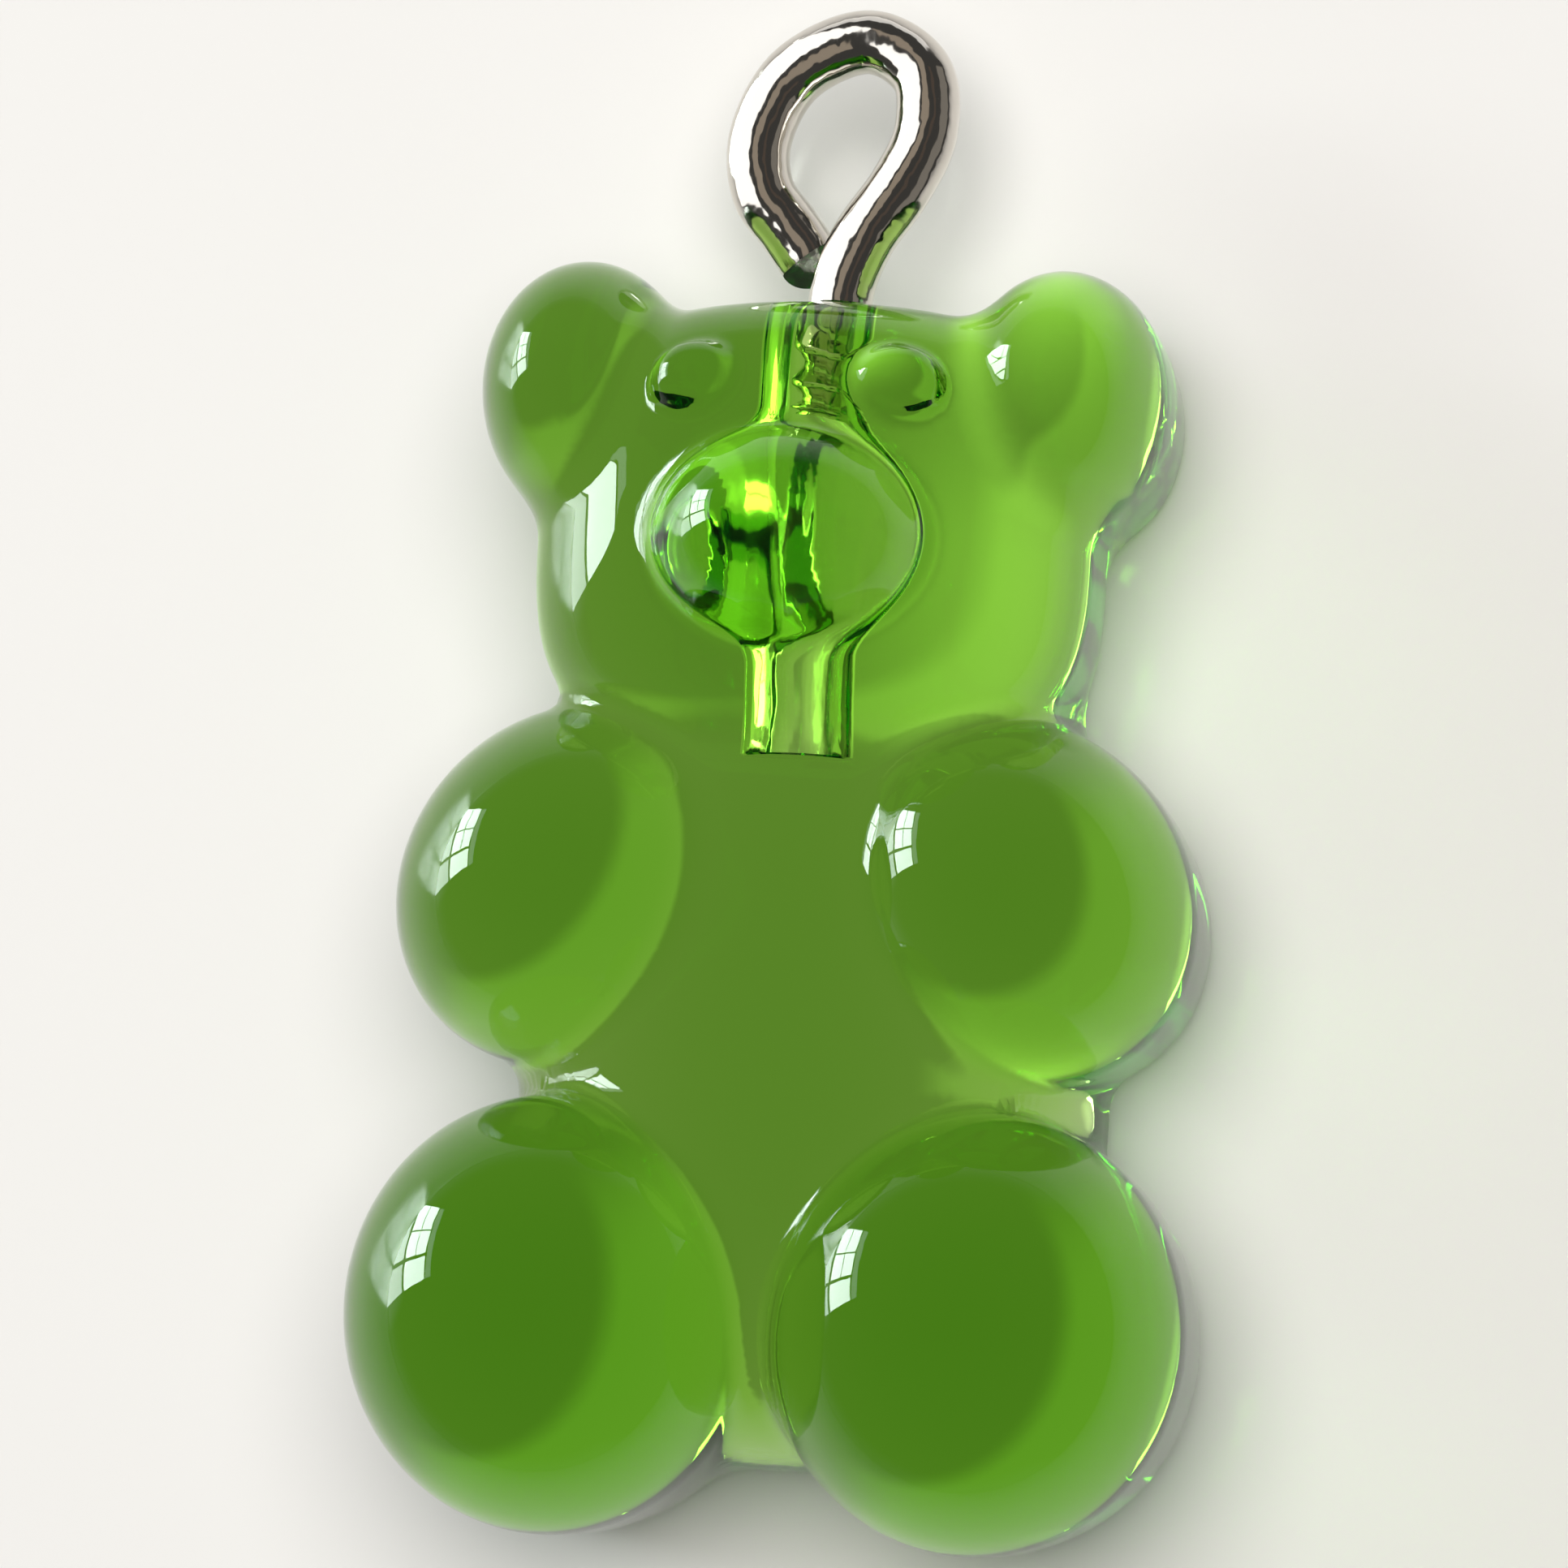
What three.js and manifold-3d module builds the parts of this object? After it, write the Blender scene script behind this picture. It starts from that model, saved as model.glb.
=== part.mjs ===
// Gummy bear charm: a bear of clear green casting resin with a flat back, and a plated steel
// screw eye set in a hole drilled down through the top of its head. Millimetres, lying on its
// back: +Z is the bear's front, +Y runs from its feet to its head, and the origin is at the
// bottom centre of the whole charm.
import * as THREE from "three";
import { MarchingCubes } from "three/addons/objects/MarchingCubes.js";
import { mergeVertices } from "three/addons/utils/BufferGeometryUtils.js";
import Module from "manifold-3d";

// The bear's rounded masses, with X from its middle, Y from its heels and Z from its back. Each
// has its centre and its three half sizes, and is oval across. "square" closes its ends: 2 for
// oval ends and more for squarer ones. "taper" says how fast it narrows behind its widest level
// (0 is a straight wall), "turn" is about Z in degrees, and "blend" is how widely it runs into
// the rest.
const TORSO = { at: [0, 8.8, 1.13], half: [5.15, 7.4, 4.82], square: 3.3, taper: 0.3 };
const HEAD = { at: [0, 17.4, 3.6], half: [4.88, 4.05, 3.01], square: 3.1, taper: 0.3, blend: 0.9 };
const EAR = { at: [4.19, 19.91, 3.35], half: [1.83, 2.29, 2.88], taper: 0.38, blend: 0.6 };
const MUZZLE = { at: [0, 17.09, 5.45], half: [2.5, 2.05, 2.62], taper: 0.6, blend: 0.45 };
const ARM = { at: [3.88, 11.26, 3.52], half: [3.32, 2.94, 3.42], taper: 0.38, turn: -50, blend: 0.8 };
const LEG = { at: [3.67, 3.82, 4.4], half: [3.58, 3.76, 3.68], taper: 0.38, blend: 0.8 };
const EYE = { at: [1.73, 19.74, 6.06], half: [0.76, 0.64, 0.62] };

// The drilled hole, and the neck of resin drawn in round the wire at its mouth.
const HOLE_RADIUS = 0.81;
const HOLE_AT = { x: 0.07, z: 3.0 };
const HOLE_END = 13.64; // Y of its flat end
const NECK = 21.0; // Y up to which the hole has its full width
const NECK_LENGTH = 0.2;
const MOUTH_CLEARANCE = 0.04;
const ABOVE_HEAD = 23;

// The screw eye, bent from one wire: a threaded shank, and an eye whose free end lies behind it.
const WIRE_RADIUS = 0.56;
const WIRE_ROUTE = [
  [0, 20.85], [0.04, 21.94], [0.35, 22.81], [0.96, 23.79], [1.33, 24.74], [1.19, 25.82],
  [0.24, 26.38], [-1.08, 25.81], [-1.67, 24.65], [-1.57, 23.7], [-1.11, 23.1], [-0.69, 22.54],
]; // the middle of the wire, in X from the hole's axis and Y
const FREE_END_BEHIND = 0.7;
const NIPPED_ANGLE = 35; // slant of the cut at the free end, in degrees
const THREAD = { radius: 0.68, pitch: 0.4, bottom: 19.0, top: 20.55 };
const SHANK_TOP = 21.15;

// The fineness of the meshes.
const CELL = 0.5; // of the grid that the bear's skin is made on
const CELLS = 54;
const GRID_CENTRE = [0.013, 11.021, 4.017];
const BELOW_BACK = 0.7; // the skin is made this much too deep, and cut off flat at the back
const SMOOTHING_ROUNDS = 8;
const WIRE_SIDES = 14;
const WIRE_STEPS = 56;
const RINGS_PER_TURN = 5;
const HOLE_SIDES = 28;
const EYE_SIDES = 20;
const NO_LENGTH = 1e-9;
const LEAST_THICKNESS = 5e-4; // faces thinner than this are closed up

function lobe(x, y, z, { at, half, square = 2, taper = 1, turn = 0 }) {
  const angle = THREE.MathUtils.degToRad(turn);
  const [dx, dy, dz] = [x - at[0], y - at[1], z - at[2]];
  const narrowing = dz < 0 ? taper : 1;
  const u = Math.abs(dx * Math.cos(angle) + dy * Math.sin(angle)) / half[0];
  const v = Math.abs(dy * Math.cos(angle) - dx * Math.sin(angle)) / half[1];
  const w = Math.abs(dz * narrowing) / half[2];
  const round = Math.hypot(u, w) + NO_LENGTH;
  const size = (round ** square + v ** square) ** (1 / square);
  const across = (round / size) ** (square - 1) / round;
  const steepness = Math.hypot(
    (across * u) / half[0], (across * w * narrowing) / half[2],
    (v / size) ** (square - 1) / half[1]);
  return (size - 1) / (steepness + NO_LENGTH);
}

// The smaller of two distances, rounded off where they are nearly equal.
function blended(a, b, width) {
  const overlap = Math.max(width - Math.abs(a - b), 0);
  return Math.min(a, b) - (overlap * overlap) / (4 * width);
}

// About the distance to a lobe and its twin on the other side.
function pair(x, y, z, shape) {
  return blended(lobe(x, y, z, shape), lobe(-x, y, z, shape), shape.blend);
}

// About the distance to the bear's skin, negative inside.
function distance(x, y, z) {
  let head = lobe(x, y, z, HEAD);
  head = blended(head, pair(x, y, z, EAR), EAR.blend);
  head = blended(head, lobe(x, y, z, MUZZLE), MUZZLE.blend);
  let body = blended(lobe(x, y, z, TORSO), head, HEAD.blend);
  body = blended(body, pair(x, y, z, ARM), ARM.blend);
  body = blended(body, pair(x, y, z, LEG), LEG.blend);
  return Math.max(body, -BELOW_BACK - z);
}

// Moves a point onto the skin, straight up or down the slope of the distance.
function settle(point) {
  const step = 1e-3;
  const least = 0.2; // where two lobes meet the slope can nearly vanish
  for (let i = 0; i < 3; i++) {
    const { x, y, z } = point;
    const slope = new THREE.Vector3(
      distance(x + step, y, z) - distance(x - step, y, z),
      distance(x, y + step, z) - distance(x, y - step, z),
      distance(x, y, z + step) - distance(x, y, z - step)).divideScalar(2 * step);
    point.addScaledVector(slope, -distance(x, y, z) / Math.max(slope.lengthSq(), least));
  }
  return point;
}

function skinGeometry() {
  const cubes = new MarchingCubes(CELLS, new THREE.MeshBasicMaterial(), false, false, 60000);
  cubes.isolation = 0;
  const place = (i, axis) => GRID_CENTRE[axis] + (i - CELLS / 2) * CELL;
  for (let k = 0; k < CELLS; k++)
    for (let j = 0; j < CELLS; j++)
      for (let i = 0; i < CELLS; i++)
        cubes.field[i + CELLS * (j + CELLS * k)] = -distance(place(i, 0), place(j, 1), place(k, 2));
  cubes.update();
  const positions = cubes.positionArray.slice(0, 3 * cubes.count);
  const halfGrid = (CELL * CELLS) / 2;
  const rough = new THREE.BufferGeometry()
    .setAttribute("position", new THREE.BufferAttribute(positions, 3))
    .scale(halfGrid, halfGrid, halfGrid)
    .translate(...GRID_CENTRE);
  return evened(mergeVertices(rough, 1e-3));
}

// The faces as corner numbers, less those that have shrunk to an edge.
function facesOf(geometry) {
  const faces = [];
  for (let i = 0; i < geometry.index.count; i += 3) {
    const face = [0, 1, 2].map((corner) => geometry.index.getX(i + corner));
    if (new Set(face).size === 3) faces.push(face);
  }
  return faces;
}

// Spreads the vertices evenly over the skin, so that no triangle is left a sliver.
function evened(geometry) {
  const faces = facesOf(geometry);
  const near = Array.from({ length: geometry.attributes.position.count }, () => new Set());
  for (const [a, b, c] of faces) {
    near[a].add(b).add(c);
    near[b].add(c).add(a);
    near[c].add(a).add(b);
  }
  let points = near.map((_, i) =>
    new THREE.Vector3().fromBufferAttribute(geometry.attributes.position, i));
  for (let round = 0; round < SMOOTHING_ROUNDS; round++)
    points = points.map((point, i) => {
      const middle = new THREE.Vector3();
      for (const j of near[i]) middle.addScaledVector(points[j], 1 / near[i].size);
      return near[i].size ? settle(middle.lerp(point, 0.4)) : point;
    });
  return new THREE.BufferGeometry().setFromPoints(points).setIndex(faces.flat());
}

const wasm = await Module();
wasm.setup();

function solidOf(geometry) {
  const bare = new THREE.BufferGeometry().setAttribute("position", geometry.attributes.position);
  const merged = mergeVertices(bare.setIndex(geometry.index), 1e-4);
  return new wasm.Manifold(new wasm.Mesh({
    numProp: 3,
    vertProperties: merged.attributes.position.array,
    triVerts: new Uint32Array(merged.index.array),
  }));
}

// Closes up the needles that a cut leaves, by joining the two nearest corners of each.
function withoutNeedles(geometry) {
  const place = (i) => new THREE.Vector3().fromBufferAttribute(geometry.attributes.position, i);
  const joinedTo = Array.from({ length: geometry.attributes.position.count }, (_, i) => i);
  const kept = (i) => (joinedTo[i] === i ? i : kept(joinedTo[i]));
  for (const face of facesOf(geometry)) {
    const corners = face.map(kept);
    const sides = corners.map((a, i) => {
      const b = corners[(i + 1) % 3];
      return { a, b, length: place(a).distanceTo(place(b)) };
    }).sort((one, other) => one.length - other.length);
    const area = new THREE.Triangle(...corners.map(place)).getArea();
    const thickness = (2 * area) / (sides[2].length + NO_LENGTH);
    if (thickness < LEAST_THICKNESS) joinedTo[sides[0].b] = sides[0].a;
  }
  geometry.setIndex(facesOf(geometry).flat().map(kept));
  return geometry.setIndex(facesOf(geometry).flat());
}

function geometryOf(solid) {
  const mesh = solid.getMesh();
  const geometry = withoutNeedles(new THREE.BufferGeometry()
    .setAttribute("position", new THREE.BufferAttribute(mesh.vertProperties, 3))
    .setIndex(new THREE.BufferAttribute(mesh.triVerts, 1)));
  geometry.computeVertexNormals();
  return geometry;
}

function holeGeometry() {
  const mouth = WIRE_RADIUS + MOUTH_CLEARANCE;
  const profile = [
    [0, HOLE_END], [HOLE_RADIUS, HOLE_END], [HOLE_RADIUS, NECK], [mouth, NECK + NECK_LENGTH],
    [mouth, ABOVE_HEAD], [0, ABOVE_HEAD],
  ].map(([radius, y]) => new THREE.Vector2(radius, y));
  return new THREE.LatheGeometry(profile, HOLE_SIDES).translate(HOLE_AT.x, 0, HOLE_AT.z);
}

function bearGeometry() {
  const behind = new THREE.BoxGeometry(40, 60, 4).translate(0, 0, -2);
  let bear = solidOf(skinGeometry()).subtract(solidOf(behind));
  for (const side of [-1, 1]) {
    const eye = new THREE.SphereGeometry(1, EYE_SIDES, EYE_SIDES / 2)
      .rotateX(Math.PI / 2)
      .scale(...EYE.half)
      .translate(side * EYE.at[0], EYE.at[1], EYE.at[2]);
    bear = bear.add(solidOf(eye));
  }
  return geometryOf(bear.subtract(solidOf(holeGeometry())));
}

// The wire's middle line. It leaves the shank's plane at the start of the eye.
function wireRoute() {
  const eyeStart = 2;
  const eyeEnd = WIRE_ROUTE.length - 1;
  return new THREE.CatmullRomCurve3(WIRE_ROUTE.map(([x, y], i) => {
    const round = Math.max(i - eyeStart, 0) / (eyeEnd - eyeStart);
    return new THREE.Vector3(x, y, -FREE_END_BEHIND * round);
  }));
}

function wireGeometry() {
  const route = wireRoute();
  const section = new THREE.Shape().absarc(0, 0, WIRE_RADIUS, 0, 2 * Math.PI);
  const wire = new THREE.ExtrudeGeometry(section, {
    extrudePath: route, steps: WIRE_STEPS, curveSegments: WIRE_SIDES / 2, bevelEnabled: false,
  });
  slant(wire, route.getPointAt(1), route.getTangentAt(1));
  return wire;
}

// Turns the flat end of the wire so that its cut faces the front.
function slant(wire, end, along) {
  const position = wire.attributes.position;
  const steepness = Math.tan(THREE.MathUtils.degToRad(NIPPED_ANGLE));
  const point = new THREE.Vector3();
  for (let i = 0; i < position.count; i++) {
    point.fromBufferAttribute(position, i).sub(end);
    if (point.length() > WIRE_RADIUS + 1e-3 || Math.abs(point.dot(along)) > 1e-3) continue;
    point.addScaledVector(along, -steepness * point.z).add(end);
    position.setXYZ(i, point.x, point.y, point.z);
  }
}

// A turned pin whose side is swelled and pinched into a screw thread.
function shankGeometry() {
  const length = THREAD.top - THREAD.bottom;
  const rings = Math.round((length / THREAD.pitch) * RINGS_PER_TURN);
  const inWire = WIRE_RADIUS - 0.01;
  const profile = [new THREE.Vector2(0, THREAD.bottom)];
  for (let i = 0; i <= rings; i++)
    profile.push(new THREE.Vector2(WIRE_RADIUS, THREAD.bottom + (length * i) / rings));
  profile.push(new THREE.Vector2(inWire, SHANK_TOP), new THREE.Vector2(0, SHANK_TOP));
  const shank = new THREE.LatheGeometry(profile, WIRE_SIDES);
  const position = shank.attributes.position;
  const depth = (THREAD.radius - WIRE_RADIUS) / WIRE_RADIUS;
  for (let i = 0; i < position.count; i++) {
    const [x, y, z] = [position.getX(i), position.getY(i), position.getZ(i)];
    if (Math.hypot(x, z) < WIRE_RADIUS - 1e-3) continue;
    const turns = (y - THREAD.bottom) / THREAD.pitch + Math.atan2(z, x) / (2 * Math.PI);
    const crest = Math.cos(2 * Math.PI * turns);
    const runOut = Math.min(1, (THREAD.top - y) / THREAD.pitch, (y - THREAD.bottom) / THREAD.pitch);
    const swell = 1 + depth * crest * runOut;
    position.setXYZ(i, x * swell, y, z * swell);
  }
  return shank;
}

function screwEyeGeometry() {
  const joined = solidOf(wireGeometry()).add(solidOf(shankGeometry()));
  return geometryOf(joined).translate(HOLE_AT.x, 0, HOLE_AT.z);
}

const resin = new THREE.MeshStandardMaterial({ color: "#56881e", roughness: 0.05 });
const plating = new THREE.MeshStandardMaterial({
  color: "#c9c6c0", roughness: 0.12, metalness: 1,
});

const bear = new THREE.Mesh(bearGeometry(), resin);
bear.name = "bear";
const screwEye = new THREE.Mesh(screwEyeGeometry(), plating);
screwEye.name = "screw_eye";

const placed = new THREE.Group().add(bear, screwEye);
const box = new THREE.Box3().setFromObject(placed, true);
placed.position.set(-(box.min.x + box.max.x) / 2, -(box.min.y + box.max.y) / 2, -box.min.z);

const charm = new THREE.Group().add(placed);
export default charm;
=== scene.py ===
"""The looks of a gummy bear charm: clear green casting resin with a nickel-plated screw eye, lying
on a pale studio floor. It is laid out as an add-on and run as a script, in Blender 4.5."""

import math
from dataclasses import dataclass

import bmesh
import bpy
import numpy as np
from bpy.props import FloatProperty, FloatVectorProperty, IntProperty, PointerProperty
from mathutils import Matrix, Vector


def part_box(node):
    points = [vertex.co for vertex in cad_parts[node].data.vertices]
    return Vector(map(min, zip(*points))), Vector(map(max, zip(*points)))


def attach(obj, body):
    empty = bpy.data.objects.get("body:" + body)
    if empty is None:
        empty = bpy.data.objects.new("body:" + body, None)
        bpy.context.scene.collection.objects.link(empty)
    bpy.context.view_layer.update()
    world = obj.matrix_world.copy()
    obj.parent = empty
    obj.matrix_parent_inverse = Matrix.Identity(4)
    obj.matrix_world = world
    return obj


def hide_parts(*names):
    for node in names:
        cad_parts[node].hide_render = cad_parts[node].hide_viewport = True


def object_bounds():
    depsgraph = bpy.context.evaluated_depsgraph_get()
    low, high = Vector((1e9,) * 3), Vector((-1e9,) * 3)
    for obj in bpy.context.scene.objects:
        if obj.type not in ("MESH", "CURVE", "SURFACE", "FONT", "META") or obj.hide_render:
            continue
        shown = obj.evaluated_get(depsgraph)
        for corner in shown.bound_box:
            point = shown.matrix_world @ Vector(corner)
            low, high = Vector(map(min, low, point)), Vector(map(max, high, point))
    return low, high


bl_info = {
    "name": "Gummy Bear Charm",
    "version": (1, 0, 0),
    "blender": (4, 5, 0),
    "location": "3D View > Sidebar > Charm",
    "description": "Builds the resin bear, its screw eye and the studio round the packed frame",
    "category": "Object",
}

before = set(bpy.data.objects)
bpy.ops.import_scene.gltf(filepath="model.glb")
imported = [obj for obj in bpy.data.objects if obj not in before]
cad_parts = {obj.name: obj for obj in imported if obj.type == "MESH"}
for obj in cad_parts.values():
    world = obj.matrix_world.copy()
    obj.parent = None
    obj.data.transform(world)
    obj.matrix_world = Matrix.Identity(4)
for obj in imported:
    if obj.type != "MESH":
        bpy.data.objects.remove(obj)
CAD_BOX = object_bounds()

MM = 0.001


@dataclass(frozen=True)
class Lobe:
    """A rounded mass of the bear, in millimetres: X from its middle, Y from its heels and Z from
    its back.

    It is oval across, and its ends are squarer where square is over 2. Behind its widest level it
    narrows only by taper. A paired lobe has its twin on the other side."""

    at: tuple
    half: tuple
    square: float = 2.0
    taper: float = 1.0
    turn: float = 0.0
    blend: float = 0.0
    paired: bool = False


TORSO = Lobe(at=(0, 8.8, 1.13), half=(5.15, 7.4, 4.82), square=3.3, taper=0.3)
HEAD = Lobe(at=(0, 17.4, 3.6), half=(4.88, 4.05, 3.01), square=3.1, taper=0.3, blend=0.7)
EAR = Lobe(at=(4.19, 19.91, 3.35), half=(1.83, 2.29, 2.88), taper=0.38, blend=0.6, paired=True)
MUZZLE = Lobe(at=(0, 17.09, 5.45), half=(2.5, 2.05, 2.62), taper=0.6, blend=0.3)
EYE = Lobe(at=(1.73, 19.74, 6.06), half=(0.8, 0.68, 0.56), blend=0.2, paired=True)
ARM = Lobe(
    at=(3.88, 11.26, 3.52), half=(3.32, 2.94, 3.42), taper=0.38, turn=-50, blend=0.5, paired=True)
LEG = Lobe(at=(3.67, 3.82, 4.4), half=(3.58, 3.76, 3.68), taper=0.38, blend=0.4, paired=True)
HEEL = LEG.at[1] - LEG.half[1]

# The drilled hole, in millimetres. Its neck is where it narrows to the wire, under the glue.
SHANK_X, HOLE_Z = 0.07, 3.0
HOLE_X = -0.13  # the shank leans on the hole's right side
HOLE_RADIUS = 0.81
HOLE_END = 13.64
HOLE_CHAMFER = 0.05
NECK = 21.0
NECK_LENGTH = 0.2
ABOVE_HEAD = 22.6

# The film of glue round the hole's mouth. It creeps up the wire, and the skin is finer round it.
GLUE_FROM = NECK - 0.5
GLUE_RADIUS = 1.45
GLUE_THICKNESS = 0.07
CREEP_HEIGHT = 0.12
CREEP_WIDTH = 0.13
FINE_FROM = NECK - 0.3
FINE_RADIUS = 1.7

# The wire that the screw eye is bent from, in millimetres and degrees.
WIRE_RADIUS = 0.56
WIRE_CLEARANCE = 0.004
WIRE_ROUTE = [
    (0, 20.85), (0.04, 21.94), (0.35, 22.81), (0.96, 23.79), (1.33, 24.74), (1.19, 25.82),
    (0.24, 26.38), (-1.08, 25.81), (-1.67, 24.65), (-1.57, 23.7), (-1.11, 23.1), (-0.69, 22.54),
]  # X from the shank's axis, and Y
EYE_START = 2  # the point of the route from which the wire leaves the shank's plane
FREE_END_BEHIND = 0.7
NIPPED_ANGLE = 35
SHANK_STEPS = 120
BEND_STEPS = 14  # between two points of the route
THREAD_RADIUS = 0.68
THREAD_PITCH = 0.4
THREAD_BOTTOM = 19.0
THREAD_TOP = 20.55
THREAD_STEEPNESS = 1.4  # over 1 flattens the crests and the grooves

# Corners that are nearer to each other than this are merged, in millimetres.
SAME_PLACE = 1e-4
SAME_PLACE_IN_PACKED = 1e-3

# The camera: where it stands, in degrees and millimetres, and what it takes in.
VIEW_SIDEWAYS = 11.0
VIEW_UPWARD = -6.0
VIEW_ROLL = -3.148
LOOK_AT = (0, 12.5, 3.5)
VIEW_DISTANCE = 130.0
PICTURE_SIDE = 1932
PIXELS_PER_MM = 71.5
PICTURE_OFFSET = (21.9, 47.6)  # pixels right and down, from the middle of the picture to LOOK_AT
SENSOR = 36.0

# The window beside the bear, in millimetres. Each pane has its ends along the mullion and across
# it, both from where the mullion and the transom cross, and its share of the full brightness.
WINDOW_AWAY = 300
WINDOW_CROSSING = (73, 35)  # Y and Z from the middle of the bear
WINDOW_LEAN = 23  # degrees that the mullion leans back from Y
WINDOW_COLOUR = "#f1fffb"
WINDOW_PANES = [
    ((-60, -4), (4, 87), 0.9), ((4, 60), (4, 42), 1.0), ((4, 60), (45, 87), 1.0),
    ((64, 128), (4, 42), 1.0), ((64, 128), (45, 87), 1.0),
    ((-60, -4), (-85, -4), 0.45), ((4, 128), (-85, -4), 0.55),
    ((-60, 128), (92, 116), 0.12),
]

# The floor and the other lamps, in millimetres.
FLOOR_GAP = 0.02
BEAR_MIDDLE = (0, 11, 4)
EYE_MIDDLE = (0, 24, 3)
CEILING_LAMP_FROM_BEAR = (-248, 308, -40)
CEILING_LAMP_SIZE = 12
OVERHEAD_FROM_BEAR = (50, 100, 600)
OVERHEAD_SIZE = 600

# The round card behind the face, a painted glow, and the light tent: a ball round the head that is
# open at its back and its lower end. Both are seen only through the resin.
CARD_AT = (2.8, 17.8, -3.0)
CARD_RADIUS = 5.0
TENT_AT = (0, 17.5, 3)
TENT_RADIUS = 8.5
TENT_BACK = -3  # Z from TENT_AT
TENT_LOWER_END = -4  # Y from TENT_AT
SOFT_WHITE = "#fffff4"

# The cards that only the metal mirrors: which way each lies, its size along Y and across, its share
# of the full brightness, and its colour.
METAL_CARDS_AWAY = 100
METAL_CARDS = [
    ((-0.90, 0.30, 0.42), (150, 190), 1.0, "#ffffff"),
    ((0.00, 0.10, 1.00), (150, 34), 0.26, "#dccbb6"),
    ((0.50, 0.00, 0.87), (150, 14), 0.07, "#a07858"),
    ((0.93, 0.10, 0.36), (140, 45), 0.16, "#d8d0c4"),
    ((0.80, 0.20, -0.60), (150, 60), 0.30, "#ffffff"),
    ((-0.10, 1.00, -0.15), (90, 120), 0.5, "#ffffff"),
    ((0.10, -0.70, -0.70), (70, 120), 0.4, "#ffffff"),
]


def in_frame(point):
    """A point measured from the heels, in millimetres, as a place in the frame, in metres."""
    x, y, z = point
    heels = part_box("bear")[0].y
    return Vector((x * MM, heels + (y - HEEL) * MM, z * MM))


def to_frame():
    """The matrix that does the same to a whole mesh."""
    return Matrix.Translation(in_frame((0, 0, 0))) @ Matrix.Scale(MM, 4)


def linear(hex_colour):
    """A colour as shaders need it, from sRGB hex."""
    shares = [int(hex_colour[i:i + 2], 16) / 255 for i in (1, 3, 5)]
    return tuple(c / 12.92 if c <= 0.04045 else ((c + 0.055) / 1.055) ** 2.4 for c in shares)


# ---- the resin bear ---------------------------------------------------------------------------


def lobe_distance(points, lobe, side=1):
    """About how far each point is outside a lobe's skin, and negative inside it.

    Side -1 is the lobe's twin."""
    offset = points * (side, 1, 1) - np.array(lobe.at, float)
    turn = math.radians(lobe.turn)
    across = offset[:, 0] * math.cos(turn) + offset[:, 1] * math.sin(turn)
    along = offset[:, 1] * math.cos(turn) - offset[:, 0] * math.sin(turn)
    narrowing = np.where(offset[:, 2] < 0, lobe.taper, 1.0)
    u = np.abs(across) / lobe.half[0]
    v = np.abs(along) / lobe.half[1]
    w = np.abs(offset[:, 2]) * narrowing / lobe.half[2]
    around = np.hypot(u, w) + 1e-9
    size = (around ** lobe.square + v ** lobe.square) ** (1 / lobe.square)
    share = (around / size) ** (lobe.square - 1) / around
    slope_u = share * u / lobe.half[0]
    slope_v = (v / size) ** (lobe.square - 1) / lobe.half[1]
    slope_w = share * w * narrowing / lobe.half[2]
    return (size - 1) / (np.sqrt(slope_u ** 2 + slope_v ** 2 + slope_w ** 2) + 1e-9)


def blended(a, b, width):
    """The smaller of two distances, rounded off where they are nearly equal."""
    overlap = np.maximum(width - np.abs(a - b), 0)
    return np.minimum(a, b) - overlap ** 2 / (4 * width)


def with_lobe(form, points, lobe):
    """The distance to a form and a lobe, with its twin if it has one, that run into each other."""
    added = lobe_distance(points, lobe)
    if lobe.paired:
        added = blended(added, lobe_distance(points, lobe, side=-1), lobe.blend)
    return blended(form, added, lobe.blend)


def skin_distance(points, back_round):
    """About the distance to the bear's whole skin, with the hole still full."""
    head = lobe_distance(points, HEAD)
    for lobe in (EAR, MUZZLE, EYE):
        head = with_lobe(head, points, lobe)
    radius = np.hypot(points[:, 0] - SHANK_X, points[:, 2] - HOLE_Z)
    film = np.clip(1 - (radius / GLUE_RADIUS) ** 2, 0, 1) * (points[:, 1] > GLUE_FROM)
    creep = np.exp((WIRE_RADIUS - radius) / CREEP_WIDTH) * (points[:, 1] > GLUE_FROM)
    head = head - GLUE_THICKNESS * np.sqrt(film) - CREEP_HEIGHT * creep
    body = blended(lobe_distance(points, TORSO), head, HEAD.blend)
    for lobe in (ARM, LEG):
        body = with_lobe(body, points, lobe)
    return -blended(-body, points[:, 2], back_round)


def settled(points, back_round, rounds=3):
    """The points moved onto the skin, straight up or down the slope of the distance."""
    step = 1e-3
    least = 0.2  # where two lobes meet the slope can nearly vanish
    for _ in range(rounds):
        slope = np.empty_like(points)
        for axis in range(3):
            ahead = points.copy()
            ahead[:, axis] += step
            behind = points.copy()
            behind[:, axis] -= step
            slope[:, axis] = skin_distance(ahead, back_round) - skin_distance(behind, back_round)
        slope /= 2 * step
        squared = np.maximum((slope ** 2).sum(1), least)
        points = points - slope * (skin_distance(points, back_round) / squared)[:, None]
    return points


def points_of(mesh):
    """The places of the vertices, one row each."""
    points = np.empty(len(mesh.vertices) * 3)
    mesh.vertices.foreach_get("co", points)
    return points.reshape(-1, 3)


def set_points(mesh, points):
    """Moves the vertices to these places."""
    mesh.vertices.foreach_set("co", points.ravel())
    mesh.update()


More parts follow.
